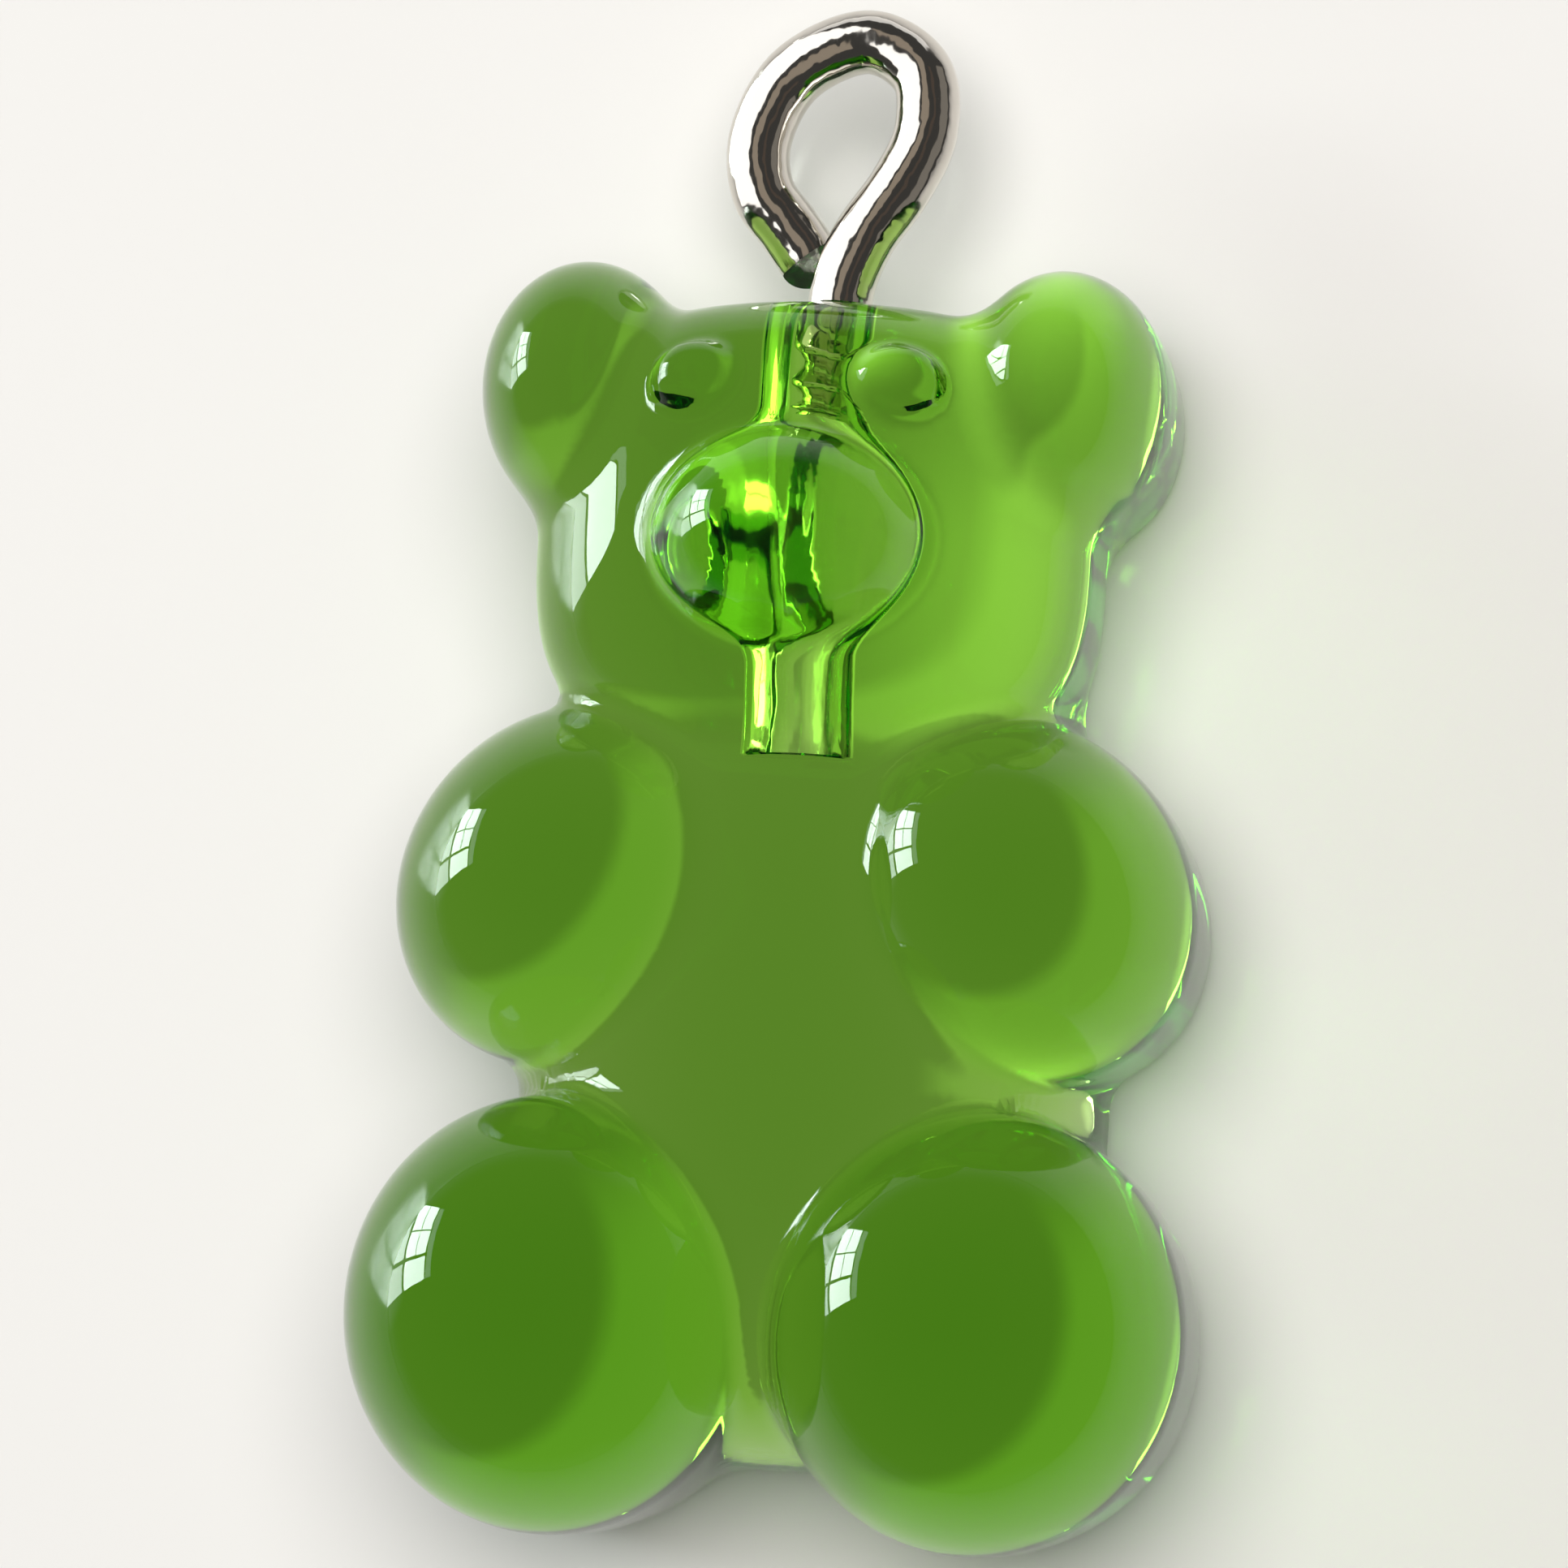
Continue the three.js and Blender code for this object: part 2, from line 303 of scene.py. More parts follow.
def even_out(mesh, back_round, rounds):
    """Spreads the vertices evenly, and brings them back onto the skin each time."""
    ends = np.empty(len(mesh.edges) * 2, np.int32)
    mesh.edges.foreach_get("vertices", ends)
    a, b = ends.reshape(-1, 2).T
    points = settled(points_of(mesh), back_round)
    neighbours = np.bincount(np.concatenate([a, b]), minlength=len(points))[:, None]
    for _ in range(rounds):
        sums = np.zeros_like(points)
        np.add.at(sums, a, points[b])
        np.add.at(sums, b, points[a])
        halfway = 0.5 * points + 0.5 * sums / neighbours
        points = settled(halfway, back_round, rounds=2)
    set_points(mesh, points)


def new_object(name, bm_or_mesh):
    """A new object in the scene, from a bmesh or a mesh."""
    mesh = bm_or_mesh
    if isinstance(bm_or_mesh, bmesh.types.BMesh):
        mesh = bpy.data.meshes.new(name)
        bm_or_mesh.to_mesh(mesh)
        bm_or_mesh.free()
    made = bpy.data.objects.new(name, mesh)
    bpy.context.scene.collection.objects.link(made)
    return made


def apply_modifiers(thing):
    """Puts what the modifiers show into the mesh, and removes them."""
    graph = bpy.context.evaluated_depsgraph_get()
    shown = bpy.data.meshes.new_from_object(thing.evaluated_get(graph))
    thing.modifiers.clear()
    thing.data = shown


def plugged_bear():
    """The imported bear's own form in millimetres, merged, with the drilled hole filled in."""
    bm = bmesh.new()
    bm.from_mesh(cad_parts["bear"].data)
    bmesh.ops.transform(bm, matrix=to_frame().inverted(), verts=bm.verts)
    bmesh.ops.remove_doubles(bm, verts=bm.verts, dist=SAME_PLACE_IN_PACKED)
    lowest, reach = HOLE_END - 0.1, HOLE_RADIUS + 0.05  # with a margin for the facets
    drilled = [
        v for v in bm.verts
        if v.co.y > lowest and math.hypot(v.co.x - SHANK_X, v.co.z - HOLE_Z) < reach
    ]
    bmesh.ops.delete(bm, geom=drilled, context="VERTS")
    rim = [e for e in bm.edges if e.is_boundary]
    bmesh.ops.holes_fill(bm, edges=rim, sides=0)
    bmesh.ops.triangulate(bm, faces=[f for f in bm.faces if len(f.verts) > 3])
    return bm


def drill():
    """What the drill takes away: a flat-ended bore that narrows to the wire at its mouth."""
    mouth = WIRE_RADIUS + WIRE_CLEARANCE
    profile = [
        (0, HOLE_END), (HOLE_RADIUS - HOLE_CHAMFER, HOLE_END),
        (HOLE_RADIUS, HOLE_END + HOLE_CHAMFER), (HOLE_RADIUS, NECK),
        (mouth, NECK + NECK_LENGTH), (mouth, ABOVE_HEAD), (0, ABOVE_HEAD),
    ]
    bm = bmesh.new()
    verts = [bm.verts.new((HOLE_X + radius, y, HOLE_Z)) for radius, y in profile]
    edges = [bm.edges.new(pair) for pair in zip(verts, verts[1:])]
    bmesh.ops.spin(
        bm, geom=verts + edges, cent=(HOLE_X, 0, HOLE_Z), axis=(0, 1, 0), angle=2 * math.pi,
        steps=96, use_merge=True)
    bmesh.ops.remove_doubles(bm, verts=bm.verts, dist=SAME_PLACE)
    in_mouth = [v for v in bm.verts if v.co.y > NECK + NECK_LENGTH / 2]
    bmesh.ops.translate(bm, vec=(SHANK_X - HOLE_X, 0, 0), verts=in_mouth)
    bmesh.ops.recalc_face_normals(bm, faces=bm.faces)
    return bm


def refine_mouth(mesh, back_round):
    """Divides the faces round the hole's mouth, for the thin film of glue."""

    def near_mouth(vert):
        away = math.hypot(vert.co.x - SHANK_X, vert.co.z - HOLE_Z)
        return vert.co.y > FINE_FROM and away < FINE_RADIUS

    bm = bmesh.new()
    bm.from_mesh(mesh)
    near = [e for e in bm.edges if all(near_mouth(v) for v in e.verts)]
    bmesh.ops.subdivide_edges(bm, edges=near, cuts=2, use_grid_fill=True)
    bmesh.ops.triangulate(bm, faces=[f for f in bm.faces if len(f.verts) > 4])
    bm.to_mesh(mesh)
    bm.free()
    set_points(mesh, settled(points_of(mesh), back_round))


def make_bear(sizes):
    """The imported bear, with its skin made smooth and the hole drilled into it again."""
    back_round = sizes.back_round / MM
    bear = new_object("gummy_bear", plugged_bear())
    remesh = bear.modifiers.new("skin", "REMESH")
    remesh.mode = "VOXEL"
    remesh.voxel_size = sizes.skin_cell / MM
    apply_modifiers(bear)
    even_out(bear.data, back_round, rounds=3)
    refine_mouth(bear.data, back_round)
    bore = new_object("bore", drill())
    cut = bear.modifiers.new("hole", "BOOLEAN")
    cut.operation = "DIFFERENCE"
    cut.solver = "MANIFOLD"
    cut.object = bore
    apply_modifiers(bear)
    bpy.data.objects.remove(bore)
    finish_mesh(bear, sharp_angle=40)
    bear.data.materials.clear()
    bear.data.materials.append(resin_material(sizes))
    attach(bear, "root")
    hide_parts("bear")
    return bear


def finish_mesh(thing, sharp_angle):
    """Brings a mesh from millimetres to its place in the frame, smooth but for its real edges.

    A cut can leave slivers that are folded flat, as two faces on the same corners. Both go."""
    thing.data.transform(to_frame())
    bm = bmesh.new()
    bm.from_mesh(thing.data)
    bmesh.ops.remove_doubles(bm, verts=bm.verts, dist=SAME_PLACE * MM)
    bmesh.ops.triangulate(bm, faces=bm.faces)
    same_corners = {}
    for face in bm.faces:
        same_corners.setdefault(frozenset(face.verts), []).append(face)
    folded = [face for faces in same_corners.values() if len(faces) > 1 for face in faces]
    bmesh.ops.delete(bm, geom=folded, context="FACES")
    bmesh.ops.recalc_face_normals(bm, faces=bm.faces)
    for face in bm.faces:
        face.smooth = True
    limit = math.radians(sharp_angle)
    for edge in bm.edges:
        edge.smooth = not (len(edge.link_faces) == 2 and edge.calc_face_angle(0) > limit)
    bm.to_mesh(thing.data)
    bm.free()
    thing.data.update()


# ---- the screw eye ----------------------------------------------------------------------------


def smooth_route(points, steps_each):
    """A centripetal Catmull-Rom curve through the points, as evenly spaced steps."""
    points = [Vector(p) for p in points]
    points = [2 * points[0] - points[1], *points, 2 * points[-1] - points[-2]]
    made = []
    for p0, p1, p2, p3 in zip(points, points[1:], points[2:], points[3:]):
        d1, d2, d3 = (max((b - a).length, 1e-6) ** 0.5 for a, b in ((p0, p1), (p1, p2), (p2, p3)))
        m1 = ((p1 - p0) / d1 - (p2 - p0) / (d1 + d2) + (p2 - p1) / d2) * d2
        m2 = ((p2 - p1) / d2 - (p3 - p1) / (d2 + d3) + (p3 - p2) / d3) * d2
        for i in range(steps_each):
            t = i / steps_each
            made.append(
                p1 * (2 * t ** 3 - 3 * t ** 2 + 1) + m1 * (t ** 3 - 2 * t ** 2 + t)
                + p2 * (3 * t ** 2 - 2 * t ** 3) + m2 * (t ** 3 - t ** 2))
    return made + [points[-2]]


def wire_route():
    """The wire's middle line in millimetres, from the shank's end to the nipped free end."""
    bent = []
    for i, (x, y) in enumerate(WIRE_ROUTE):
        behind = FREE_END_BEHIND * max(i - EYE_START, 0) / (len(WIRE_ROUTE) - 1 - EYE_START)
        bent.append((SHANK_X + x, y, HOLE_Z - behind))
    bend = smooth_route(bent, BEND_STEPS)
    shank_length = bend[0].y - THREAD_BOTTOM
    shank = [
        Vector((SHANK_X, THREAD_BOTTOM + shank_length * i / SHANK_STEPS, HOLE_Z))
        for i in range(SHANK_STEPS)
    ]
    return shank + bend


def thread_swell(y, angle):
    """How far the side of the wire stands out there, as a rolled thread."""
    if not THREAD_BOTTOM <= y <= THREAD_TOP:
        return 0.0
    turns = (y - THREAD_BOTTOM) / THREAD_PITCH + angle / (2 * math.pi)
    crest = 1 - abs(2 * (turns % 1) - 1) * 2  # from -1 in the groove to 1 on the crest
    run_out = min(1, (THREAD_TOP - y) / THREAD_PITCH, (y - THREAD_BOTTOM) / THREAD_PITCH)
    height = max(-1.0, min(1.0, crest * THREAD_STEEPNESS))
    return (THREAD_RADIUS - WIRE_RADIUS) * height * max(run_out, 0)


def swept_wire(route, sides):
    """A round bar along the route, ring by ring, with a thread on its shank."""
    bm = bmesh.new()
    bmesh.ops.create_circle(bm, cap_ends=True, radius=WIRE_RADIUS, segments=sides)
    face = bm.faces[:][0]
    side = Vector((1, 0, 0))
    for i, centre in enumerate(route):
        ahead = route[min(i + 1, len(route) - 1)] - route[max(i - 1, 0)]
        ahead.normalize()
        side = (side - ahead * side.dot(ahead)).normalized()
        up = ahead.cross(side)
        if i:
            face = bmesh.ops.extrude_discrete_faces(bm, faces=[face])["faces"][0]
        for k, corner in enumerate(face.loops):
            angle = 2 * math.pi * k / sides
            radius = WIRE_RADIUS + thread_swell(centre.y, angle)
            corner.vert.co = centre + radius * (side * math.cos(angle) + up * math.sin(angle))
    for corner in face.loops:
        slant = math.tan(math.radians(NIPPED_ANGLE)) * (corner.vert.co.z - centre.z)
        corner.vert.co -= ahead * slant
    bmesh.ops.holes_fill(bm, edges=[e for e in bm.edges if e.is_boundary], sides=0)
    return bm


def make_screw_eye(sizes):
    """The wire, bent to an eye above a threaded shank."""
    bm = swept_wire(wire_route(), sizes.wire_sides)
    bmesh.ops.recalc_face_normals(bm, faces=bm.faces)
    eye = new_object("steel_screw_eye", bm)
    finish_mesh(eye, sharp_angle=50)
    eye.data.materials.clear()
    eye.data.materials.append(nickel_material())
    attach(eye, "root")
    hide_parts("screw_eye")
    return eye


# ---- materials --------------------------------------------------------------------------------


def new_material(name):
    """A material that has no nodes yet."""
    made = bpy.data.materials.new(name)
    made.use_nodes = True
    made.node_tree.nodes.clear()
    return made


def add_node(owner, kind, settings=None, **links):
    """Adds a node to a material or a world.

    Settings are its own properties. Links are its inputs, by name or by number after an
    underscore, and each is a value or a socket."""
    node = owner.node_tree.nodes.new(kind)
    for name, value in (settings or {}).items():
        setattr(node, name, value)
    for name, value in links.items():
        socket = node.inputs[int(name[1:]) if name[0] == "_" else name.replace("_", " ")]
        if isinstance(value, bpy.types.NodeSocket):
            owner.node_tree.links.new(value, socket)
        else:
            socket.default_value = value
    return node


def resin_material(sizes):
    """Clear epoxy or polyester casting resin, dyed green and cast in a polished mould.

    The dye takes most of the blue and a good part of the red on the way through, so thick parts go
    deep green and thin rims stay pale. The drill leaves the hole's wall a little dull and wavy."""
    wall_near, wall_far = HOLE_RADIUS + 0.01, HOLE_RADIUS + 0.03
    mouth_fade = 0.1
    mark_size, mark_depth = 0.3, 0.02
    mark_stretch = (1, 0.2, 1)  # five times as long down the hole
    resin = new_material("clear_green_casting_resin")
    place = add_node(resin, "ShaderNodeTexCoord")
    from_axis = add_node(
        resin, "ShaderNodeVectorMath", {"operation": "SUBTRACT"}, _0=place.outputs["Object"],
        _1=in_frame((HOLE_X, NECK, HOLE_Z)))
    across = add_node(
        resin, "ShaderNodeVectorMath", {"operation": "MULTIPLY"}, _0=from_axis.outputs["Vector"],
        _1=(1, 0, 1))
    radius = add_node(
        resin, "ShaderNodeVectorMath", {"operation": "LENGTH"}, _0=across.outputs["Vector"])
    height = add_node(resin, "ShaderNodeSeparateXYZ", Vector=from_axis.outputs["Vector"])
    in_hole = add_node(
        resin, "ShaderNodeMapRange", Value=radius.outputs["Value"], From_Min=wall_near * MM,
        From_Max=wall_far * MM, To_Min=1.0, To_Max=0.0)
    below_mouth = add_node(
        resin, "ShaderNodeMapRange", Value=height.outputs["Y"], From_Min=0.0,
        From_Max=mouth_fade * MM, To_Min=1.0, To_Max=0.0)
    drilled = add_node(
        resin, "ShaderNodeMath", {"operation": "MULTIPLY"}, _0=in_hole.outputs["Result"],
        _1=below_mouth.outputs["Result"])
    dull = add_node(
        resin, "ShaderNodeMath", {"operation": "MULTIPLY"}, _0=drilled.outputs["Value"],
        _1=sizes.hole_roughness)
    drawn_out = add_node(
        resin, "ShaderNodeVectorMath", {"operation": "MULTIPLY"}, _0=from_axis.outputs["Vector"],
        _1=mark_stretch)
    marks = add_node(
        resin, "ShaderNodeTexNoise", Vector=drawn_out.outputs["Vector"],
        Scale=1 / (mark_size * MM), Detail=2.0)
    wavy = add_node(
        resin, "ShaderNodeBump", Height=marks.outputs["Fac"], Distance=mark_depth * MM,
        Strength=drilled.outputs["Value"])
    surface = add_node(
        resin, "ShaderNodeBsdfPrincipled", Base_Color=(1, 1, 1, 1),
        Roughness=dull.outputs["Value"], IOR=1.5, Transmission_Weight=1.0,
        Normal=wavy.outputs["Normal"])
    dye = add_node(
        resin, "ShaderNodeVolumeAbsorption", Color=(*sizes.dye_colour, 1),
        Density=sizes.dye_density)
    add_node(
        resin, "ShaderNodeOutputMaterial", Surface=surface.outputs["BSDF"],
        Volume=dye.outputs["Volume"])
    return resin


def nickel_material():
    """Bright nickel plating on drawn steel wire: a slightly warm mirror, wavy where it was bent."""
    cloud_size = 0.5
    wave_size, wave_depth = 0.9, 0.12
    nickel = new_material("bright_nickel_plating")
    place = add_node(nickel, "ShaderNodeTexCoord")
    clouds = add_node(
        nickel, "ShaderNodeTexNoise", Vector=place.outputs["Object"],
        Scale=1 / (cloud_size * MM), Detail=4.0)
    rough = add_node(
        nickel, "ShaderNodeMapRange", Value=clouds.outputs["Fac"], To_Min=0.05, To_Max=0.12)
    waves = add_node(
        nickel, "ShaderNodeTexNoise", Vector=place.outputs["Object"],
        Scale=1 / (wave_size * MM), Detail=2.5)
    bent = add_node(
        nickel, "ShaderNodeBump", Height=waves.outputs["Fac"], Distance=wave_depth * MM,
        Strength=0.5)
    surface = add_node(
        nickel, "ShaderNodeBsdfPrincipled", Base_Color=(*linear("#d8d3cb"), 1), Metallic=1.0,
        Roughness=rough.outputs["Result"], Normal=bent.outputs["Normal"])
    add_node(nickel, "ShaderNodeOutputMaterial", Surface=surface.outputs["BSDF"])
    return nickel


def floor_material(colour):
    """Satin acrylic board, pale and slightly glossy, so that it mirrors what is low behind it."""
    grain_size = 4
    board = new_material("satin_acrylic_board")
    place = add_node(board, "ShaderNodeTexCoord")
    grain = add_node(
        board, "ShaderNodeTexNoise", Vector=place.outputs["Object"], Scale=1 / (grain_size * MM),
        Detail=3.0)
    rough = add_node(
        board, "ShaderNodeMapRange", Value=grain.outputs["Fac"], To_Min=0.12, To_Max=0.16)
    surface = add_node(
        board, "ShaderNodeBsdfPrincipled", Base_Color=(*colour, 1),
        Roughness=rough.outputs["Result"])
    add_node(board, "ShaderNodeOutputMaterial", Surface=surface.outputs["BSDF"])
    return board


def make_glow(material, strength):
    """Makes a material give off light and let all other light through. Strength may be a socket."""
    glow = add_node(
        material, "ShaderNodeEmission", Color=(*linear(SOFT_WHITE), 1), Strength=strength)
    clear = add_node(material, "ShaderNodeBsdfTransparent")
    both = add_node(
        material, "ShaderNodeAddShader", _0=glow.outputs["Emission"], _1=clear.outputs["BSDF"])
    add_node(material, "ShaderNodeOutputMaterial", Surface=both.outputs["Shader"])


# ---- the studio -------------------------------------------------------------------------------


def aim(thing, place, target, up=Vector((0, 1, 0))):
    """Puts a camera or lamp at a place and turns it, so that its -Z looks at the target."""
    back = (place - target).normalized()
    right = up.cross(back).normalized()
    turned = Matrix((right, back.cross(right), back)).transposed()
    thing.matrix_world = Matrix.Translation(place) @ turned.to_4x4()


def window_panes(studio, target):
    """A tall window beside the bear, in two casements of unlike brightness with glazing bars."""
    lean = math.radians(WINDOW_LEAN)
    mullion = Vector((0, math.cos(lean), -math.sin(lean)))
    transom = Vector((0, math.sin(lean), math.cos(lean)))
    crossing = target + Vector((-WINDOW_AWAY, *WINDOW_CROSSING)) * MM
    for (low, high), (left, right), brightness in WINDOW_PANES:
        lamp = bpy.data.lights.new("window_pane", "AREA")
        lamp.shape = "RECTANGLE"
        lamp.size = (high - low) * MM
        lamp.size_y = (right - left) * MM
        lamp.energy = studio.window_radiance * brightness * math.pi * lamp.size * lamp.size_y
        lamp.color = linear(WINDOW_COLOUR)
        pane = bpy.data.objects.new("window_pane", lamp)
        bpy.context.scene.collection.objects.link(pane)
        centre = crossing + (mullion * (low + high) + transom * (left + right)) / 2 * MM
        aim(pane, centre, centre + Vector((1, 0, 0)), transom)
        pane.visible_camera = False


def soft_box(name, place, size, power, colour, target):
    """A round lamp that looks at the target."""
    lamp = bpy.data.lights.new(name, "AREA")
    lamp.shape = "DISK"
    lamp.size = size
    lamp.energy = power
    lamp.color = linear(colour)
    box = bpy.data.objects.new(name, lamp)
    bpy.context.scene.collection.objects.link(box)
    aim(box, place, target)
    box.visible_camera = False
    return box


def make_world(studio):
    """The room: dim in front of the bear, paler behind it, and palest toward the window's side."""
    world = bpy.data.worlds.new("studio_room")
    world.use_nodes = True
    world.node_tree.nodes.clear()
    where = add_node(world, "ShaderNodeTexCoord").outputs["Generated"]

    def light_toward(direction, begins, full, strength):
        """Light from about a direction, by the cosine of how far a ray is turned from it."""
        nearness = add_node(
            world, "ShaderNodeVectorMath", {"operation": "DOT_PRODUCT"}, _0=where,
            _1=Vector(direction).normalized())
        return add_node(
            world, "ShaderNodeMapRange", {"interpolation_type": "SMOOTHSTEP"},
            Value=nearness.outputs["Value"], From_Min=begins, From_Max=full, To_Min=0.0,
            To_Max=strength).outputs["Result"]

    behind = light_toward((0, 0, -1), -0.3, 0.3, studio.behind_light)
    upper_left = light_toward((0, 0, 1), -0.91, -0.87, studio.upper_left_light)
    for direction, begins, full in (((-0.8, 0.6, 0), 0.05, 0.4), ((0, 0, -1), -0.1, 0.1)):
        upper_left = add_node(
            world, "ShaderNodeMath", {"operation": "MULTIPLY"}, _0=upper_left,
            _1=light_toward(direction, begins, full, 1.0)).outputs["Value"]
    level_left = light_toward((-1, 0.2, -0.12), 0.93, 0.985, studio.level_left_light)
    right = light_toward((1, 0, 0), 0.4, 0.85, -studio.right_shade)
    total = behind
    for light in (upper_left, level_left, right):
        total = add_node(
            world, "ShaderNodeMath", {"operation": "ADD"}, _0=total, _1=light).outputs["Value"]
    strength = add_node(
        world, "ShaderNodeMath", {"operation": "MAXIMUM"}, _0=total, _1=studio.room_light)
    background = add_node(
        world, "ShaderNodeBackground", Color=(*studio.room_colour, 1),
        Strength=strength.outputs["Value"])
    add_node(world, "ShaderNodeOutputWorld", Surface=background.outputs["Background"])
    bpy.context.scene.world = world


def show_only_in_resin(thing):
    """Leaves a piece of the stage to be seen by nothing but the rays that go through the resin."""
    thing.visible_camera = False
    thing.visible_glossy = False
    thing.visible_diffuse = False
    thing.visible_shadow = False


def glow_card(studio):
    """A small round card behind the face that gives off painted light, brightest in its middle."""
    bm = bmesh.new()
    bmesh.ops.create_circle(bm, cap_ends=True, radius=CARD_RADIUS * MM, segments=64)
    bmesh.ops.translate(bm, vec=in_frame(CARD_AT), verts=bm.verts)
    # The card and its material give off painted light, brightest in the middle; nothing is
    # reflected.
    card = new_object("glow_card", bm)
    card_glow = new_material("card_emission_glow")
    place = add_node(card_glow, "ShaderNodeTexCoord")
    away = add_node(
        card_glow, "ShaderNodeVectorMath", {"operation": "DISTANCE"}, _0=place.outputs["Object"],
        _1=in_frame(CARD_AT))
    # Painted glow, fading from the card's middle to its rim.
    shine = add_node(
        card_glow, "ShaderNodeMapRange", {"interpolation_type": "SMOOTHSTEP"},
        Value=away.outputs["Value"], From_Min=0.0, From_Max=CARD_RADIUS * MM,
        To_Min=studio.card_light, To_Max=0.0)
    make_glow(card_glow, shine.outputs["Result"])
    card.data.materials.append(card_glow)
    show_only_in_resin(card)


def light_tent(studio):
    """A ball of thin white cloth that lights the hole, open at its back and its lower end."""
    bm = bmesh.new()
    bmesh.ops.create_uvsphere(bm, u_segments=64, v_segments=32, radius=TENT_RADIUS)
    middles = {face: face.calc_center_median() for face in bm.faces}
    openings = [f for f, at in middles.items() if at.z <= TENT_BACK or at.y < TENT_LOWER_END]
    bmesh.ops.delete(bm, geom=openings, context="FACES")
    bmesh.ops.transform(bm, matrix=to_frame() @ Matrix.Translation(TENT_AT), verts=bm.verts)
    tent = new_object("light_tent", bm)
    cloth = new_material("thin_white_cloth")
    make_glow(cloth, studio.tent_light)
    tent.data.materials.append(cloth)
    show_only_in_resin(tent)


def cards_for_metal(studio, target):
    """Cards round the screw eye, if it is built, which only its plated wire mirrors."""
    eye = bpy.data.objects.get("steel_screw_eye")
    if eye is None:
        return
    metal = bpy.data.collections.new("plated_metal")
    bpy.context.scene.collection.children.link(metal)
    metal.objects.link(eye)
    for toward, (along, across), brightness, colour in METAL_CARDS:
        lamp = bpy.data.lights.new("metal_card", "AREA")
        lamp.shape = "RECTANGLE"
        lamp.size, lamp.size_y = across * MM, along * MM
        lamp.energy = studio.metal_light * brightness * math.pi * lamp.size * lamp.size_y
        lamp.color = linear(colour)
        card = bpy.data.objects.new("metal_card", lamp)
        bpy.context.scene.collection.objects.link(card)
        upward = Vector((0, 1, 0)) if abs(toward[1]) < 0.9 else Vector((0, 0, 1))
        aim(card, target + METAL_CARDS_AWAY * MM * Vector(toward).normalized(), target, upward)
        card.visible_camera = False
        card.light_linking.receiver_collection = metal


def make_floor(studio):
    """The board under the bear. The resin mirrors it, but it isn't seen through the resin."""
    bm = bmesh.new()
    bmesh.ops.create_grid(bm, x_segments=2, y_segments=2, size=studio.floor_size / 2)
    bmesh.ops.translate(bm, vec=(0, 0, CAD_BOX[0].z - FLOOR_GAP * MM), verts=bm.verts)
    floor = new_object("studio_floor", bm)
    floor.data.materials.append(floor_material(studio.floor_colour))
    floor.visible_transmission = False
    floor.visible_shadow = False


def make_camera():
    """A long lens, a little to the side of the bear and from below, and slightly rolled."""
    sideways, upward, roll = map(math.radians, (VIEW_SIDEWAYS, VIEW_UPWARD, VIEW_ROLL))
    towards = Vector((
        math.sin(sideways) * math.cos(upward), math.sin(upward),
        math.cos(sideways) * math.cos(upward)))
    up = (Vector((0, 1, 0)) - towards * towards.y).normalized()
    right = up.cross(towards)
    across = right * math.cos(roll) - up * math.sin(roll)
    upright = right * math.sin(roll) + up * math.cos(roll)
    look_at = in_frame(LOOK_AT)
    place = look_at + towards * VIEW_DISTANCE * MM
    right_by, down_by = (pixels / PIXELS_PER_MM * MM for pixels in PICTURE_OFFSET)
    lens = bpy.data.cameras.new("camera")
    lens.sensor_width = SENSOR
    lens.lens = SENSOR * PIXELS_PER_MM * VIEW_DISTANCE / PICTURE_SIDE
    lens.clip_start = 0.01
    lens.clip_end = 10
    camera = bpy.data.objects.new("camera", lens)
    bpy.context.scene.collection.objects.link(camera)
    aim(camera, place, look_at - across * right_by + upright * down_by, upright)
    bpy.context.scene.camera = camera


def make_stage(studio):
    """The room, the floor, the lamps and the camera."""
    make_world(studio)
    make_floor(studio)
    target = in_frame(BEAR_MIDDLE)
    window_panes(studio, target)
    glow_card(studio)
    light_tent(studio)
    cards_for_metal(studio, in_frame(EYE_MIDDLE))
    soft_box(
        "ceiling_lamp", target + Vector(CEILING_LAMP_FROM_BEAR) * MM, CEILING_LAMP_SIZE * MM,
        studio.spot_power, "#ffffff", target)
    overhead = soft_box(
        "overhead_softbox", target + Vector(OVERHEAD_FROM_BEAR) * MM, OVERHEAD_SIZE * MM,
        studio.overhead_power, "#fffdf8", target)
    overhead.visible_glossy = False
    overhead.visible_transmission = False
    make_camera()
    scene = bpy.context.scene
    scene.view_settings.view_transform = "Standard"
    scene.cycles.max_bounces = 32
    scene.cycles.transmission_bounces = 24
    scene.cycles.glossy_bounces = 16
    scene.cycles.diffuse_bounces = 4


# ---- the add-on -------------------------------------------------------------------------------


class BearSettings(bpy.types.PropertyGroup):
    """The resin bear's sizes and dye."""

    skin_cell: FloatProperty(
        name="Skin cell", description="Size of the faces of the bear's skin", default=0.115 * MM,
        unit="LENGTH", precision=6)
    back_round: FloatProperty(
        name="Back edge", description="How widely the flat back's edge is rounded",
        default=0.5 * MM, unit="LENGTH", precision=6)
    dye_colour: FloatVectorProperty(
        name="Dye colour", description="What the dyed resin lets through", subtype="COLOR",
        default=linear("#c3ed00"), min=0, max=1)
    dye_density: FloatProperty(
        name="Dye density", description="How strongly the dye takes the rest, per metre",
        default=490)
    hole_roughness: FloatProperty(
        name="Hole's dullness", description="Roughness that the drill leaves", default=0.06)


class ScrewEyeSettings(bpy.types.PropertyGroup):
    """The screw eye's fineness."""

    wire_sides: IntProperty(
        name="Wire sides", description="How many flats the round wire is made of", default=40,
        min=8)


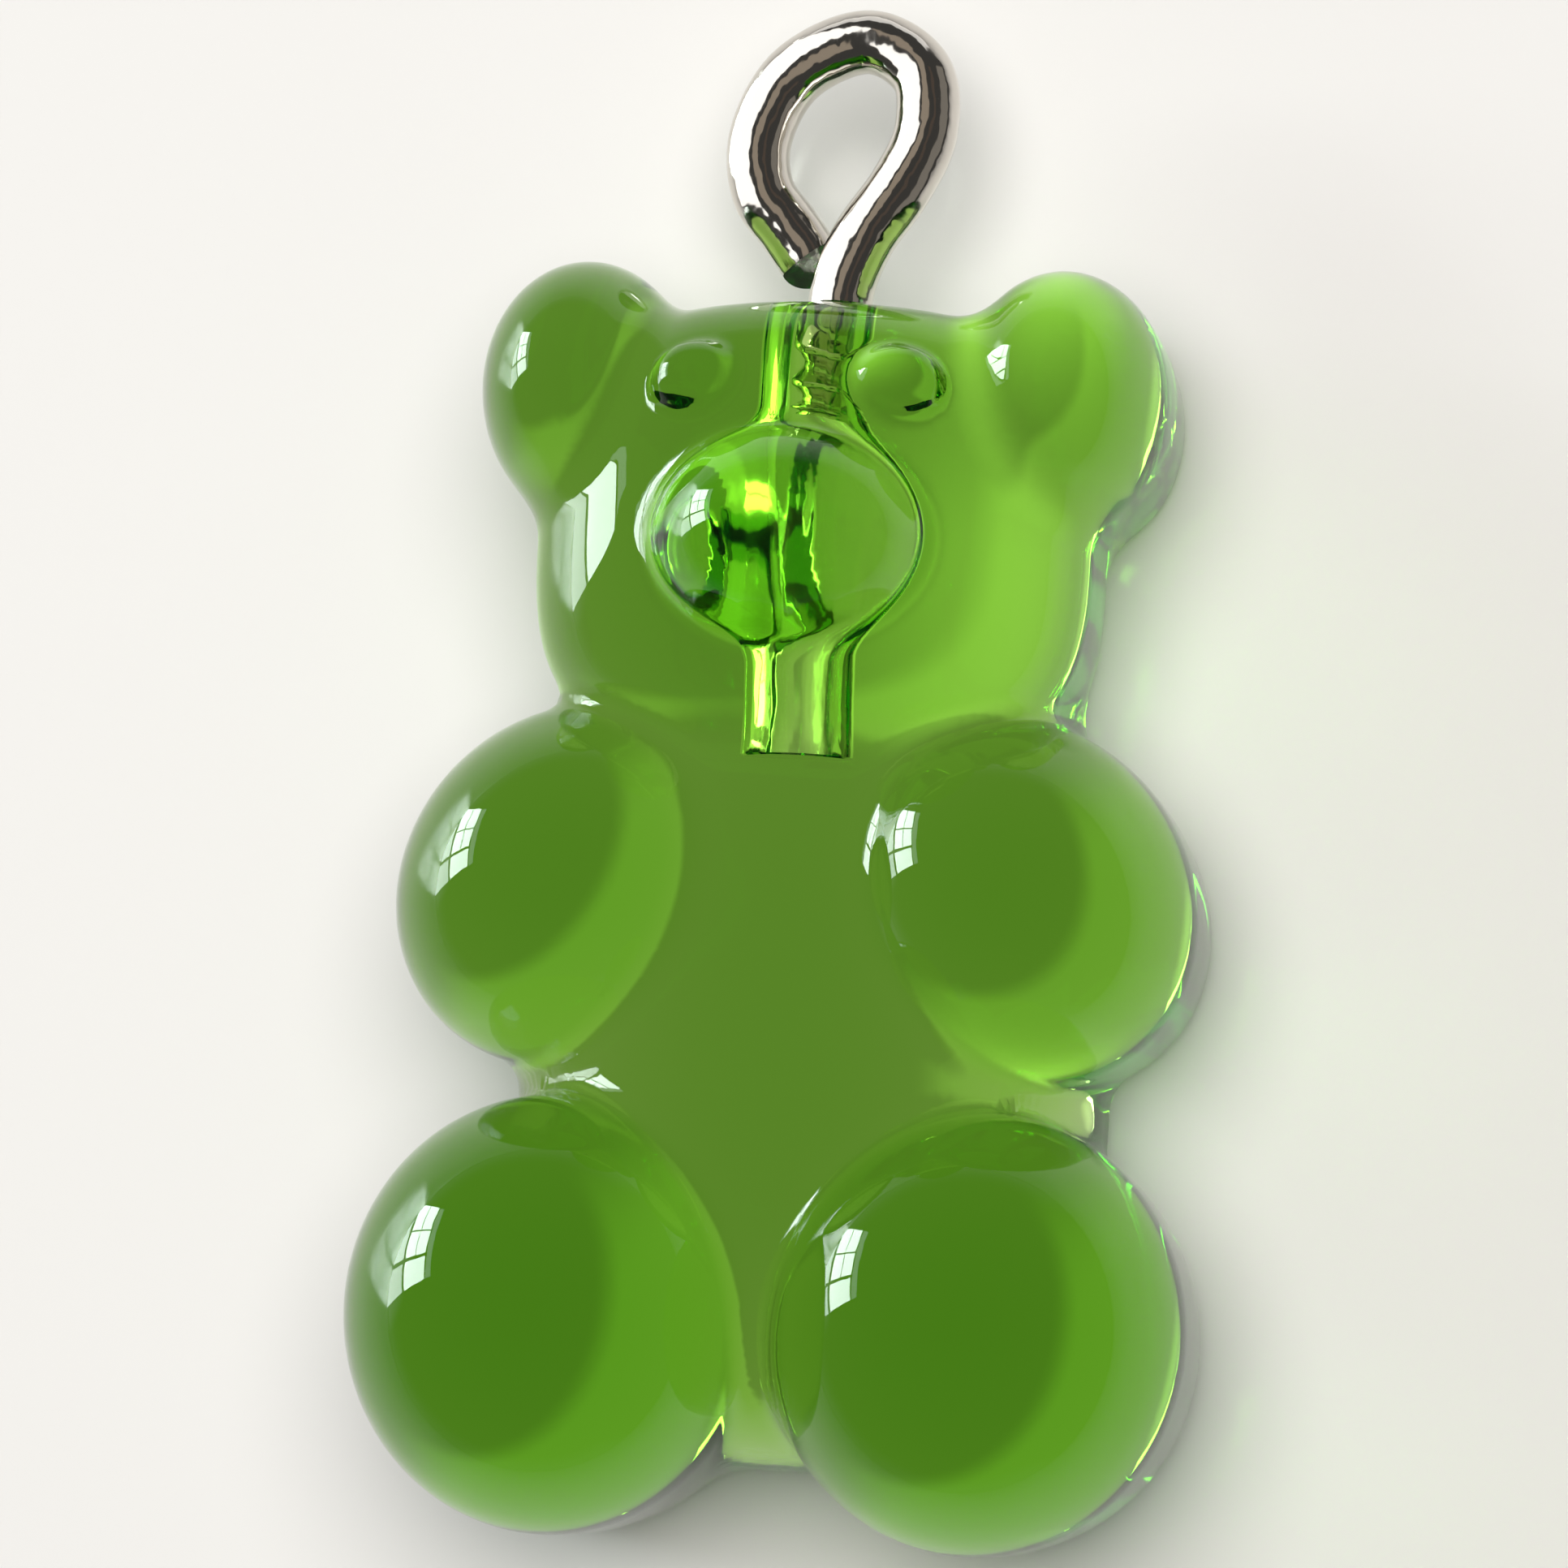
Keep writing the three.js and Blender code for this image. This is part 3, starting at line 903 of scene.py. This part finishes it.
class StudioSettings(bpy.types.PropertyGroup):
    """The floor, the window and the lamps."""

    floor_size: FloatProperty(
        name="Floor size", description="Length of the floor's side", default=3.0, unit="LENGTH")
    floor_colour: FloatVectorProperty(
        name="Floor colour", description="Colour of the pale floor", subtype="COLOR",
        default=linear("#f5f2f2"), min=0, max=1)
    room_colour: FloatVectorProperty(
        name="Room colour", description="Colour of the room's soft light", subtype="COLOR",
        default=linear("#e6e4e0"), min=0, max=1)
    room_light: FloatProperty(
        name="Room light", description="Strength of the room's light in front", default=0.07)
    behind_light: FloatProperty(
        name="Light behind", description="Strength of the light from behind the bear", default=0.5)
    upper_left_light: FloatProperty(
        name="Upper left", description="How much stronger it is behind to the upper left",
        default=0.28)
    level_left_light: FloatProperty(
        name="Level left", description="How much stronger it is level with the bear, left",
        default=0.8)
    right_shade: FloatProperty(
        name="Right", description="How much weaker it is behind to the right", default=0.28)
    # The card's painted glow.
    card_light: FloatProperty(
        name="Card", description="Strength of the reflector card behind the face", default=0.8)
    tent_light: FloatProperty(
        name="Tent", description="Strength of the light tent round the head", default=0.65)
    metal_light: FloatProperty(
        name="Metal's cards", description="How bright the cards for the metal are", default=1.6)
    window_radiance: FloatProperty(
        name="Window", default=18.0,
        description="How bright the window is, in watts per square metre and steradian")
    overhead_power: FloatProperty(
        name="Overhead softbox", description="Power of the soft box over the floor, in watts",
        default=3.9, unit="POWER")
    spot_power: FloatProperty(
        name="Ceiling lamp", description="Power of the small lamp, in watts", default=0.05,
        unit="POWER")


class CHARM_OT_make_bear(bpy.types.Operator):
    """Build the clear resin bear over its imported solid."""

    bl_idname = "charm.make_bear"
    bl_label = "Resin Bear"

    def execute(self, context):
        make_bear(context.scene.charm_bear)
        return {"FINISHED"}


class CHARM_OT_make_screw_eye(bpy.types.Operator):
    """Build the nickel-plated screw eye."""

    bl_idname = "charm.make_screw_eye"
    bl_label = "Screw Eye"

    def execute(self, context):
        make_screw_eye(context.scene.charm_screw_eye)
        return {"FINISHED"}


class CHARM_OT_make_stage(bpy.types.Operator):
    """Set up the floor, the light and the camera."""

    bl_idname = "charm.make_stage"
    bl_label = "Studio"

    def execute(self, context):
        make_stage(context.scene.charm_studio)
        return {"FINISHED"}


class CHARM_PT_panel(bpy.types.Panel):
    """The charm's pieces and their settings."""

    bl_idname = "CHARM_PT_panel"
    bl_label = "Gummy Bear Charm"
    bl_space_type = "VIEW_3D"
    bl_region_type = "UI"
    bl_category = "Charm"

    def draw(self, context):
        for group, _, operator in PIECES:
            column = self.layout.column()
            settings = getattr(context.scene, group)
            for name in settings.bl_rna.properties.keys():
                if name not in ("rna_type", "name"):
                    column.prop(settings, name)
            column.operator(operator.bl_idname)


PIECES = (
    ("charm_bear", BearSettings, CHARM_OT_make_bear),
    ("charm_screw_eye", ScrewEyeSettings, CHARM_OT_make_screw_eye),
    ("charm_studio", StudioSettings, CHARM_OT_make_stage),
)
CLASSES = (
    *(settings for _, settings, _ in PIECES), *(operator for _, _, operator in PIECES),
    CHARM_PT_panel)


def register():
    for made in CLASSES:
        bpy.utils.register_class(made)
    for group, settings, _ in PIECES:
        setattr(bpy.types.Scene, group, PointerProperty(type=settings))


def unregister():
    for group, _, _ in PIECES:
        delattr(bpy.types.Scene, group)
    for made in reversed(CLASSES):
        bpy.utils.unregister_class(made)


def main():
    register()
    bpy.ops.charm.make_bear()
    bpy.ops.charm.make_screw_eye()
    bpy.ops.charm.make_stage()


if __name__ == "__main__":
    main()
